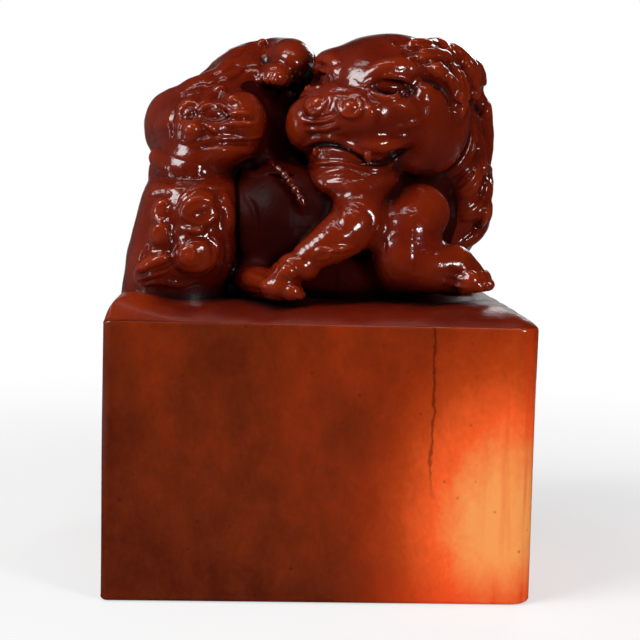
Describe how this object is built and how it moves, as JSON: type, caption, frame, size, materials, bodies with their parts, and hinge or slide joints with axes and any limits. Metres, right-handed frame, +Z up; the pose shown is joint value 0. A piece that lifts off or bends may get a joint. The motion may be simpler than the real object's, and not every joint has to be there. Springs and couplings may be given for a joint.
{
  "type": "seal stamp",
  "caption": "Square polished-stone seal block with a flat seal face below and a knob on top carved as a lioness with two cubs.",
  "frame": {"origin": "middle of the flat seal face, on the surface that the stamp stands on", "axes": "+Z up from the seal face to the knob, -Y towards the front where the lioness's head looks out, +X to the right of that view"},
  "size_m": [0.045, 0.045, 0.0601],
  "materials": {
    "block_soapstone": "polished, waxy, slightly translucent, clouded red-brown turning to orange at the front right",
    "knob_soapstone": "carved and polished, glossy deep red-brown",
    "deep_soapstone": "carved and polished, dark red-brown in the recesses"
  },
  "bodies": {
    "root": {"seal_block": "block_soapstone", "carved_ground": "block_soapstone", "lioness_head": "knob_soapstone", "lioness_ear": "knob_soapstone", "lioness_mane": "knob_soapstone", "lioness_body": "deep_soapstone", "lioness_left_foreleg": "knob_soapstone", "lioness_right_upper_foreleg": "knob_soapstone", "lioness_right_forepaw": "knob_soapstone", "lioness_right_haunch": "knob_soapstone", "lioness_left_haunch": "deep_soapstone", "lioness_right_hind_paw": "knob_soapstone", "lioness_tail": "knob_soapstone", "upper_cub_head": "knob_soapstone", "upper_cub_body": "deep_soapstone", "upper_cub_shoulder": "knob_soapstone", "upper_cub_haunch": "knob_soapstone", "upper_cub_foreleg": "deep_soapstone", "lower_cub_head": "knob_soapstone", "lower_cub_body": "deep_soapstone", "lower_cub_spine": "deep_soapstone", "lower_cub_hind_foot": "knob_soapstone", "lower_cub_tail": "deep_soapstone"}
  },
  "joints": []
}
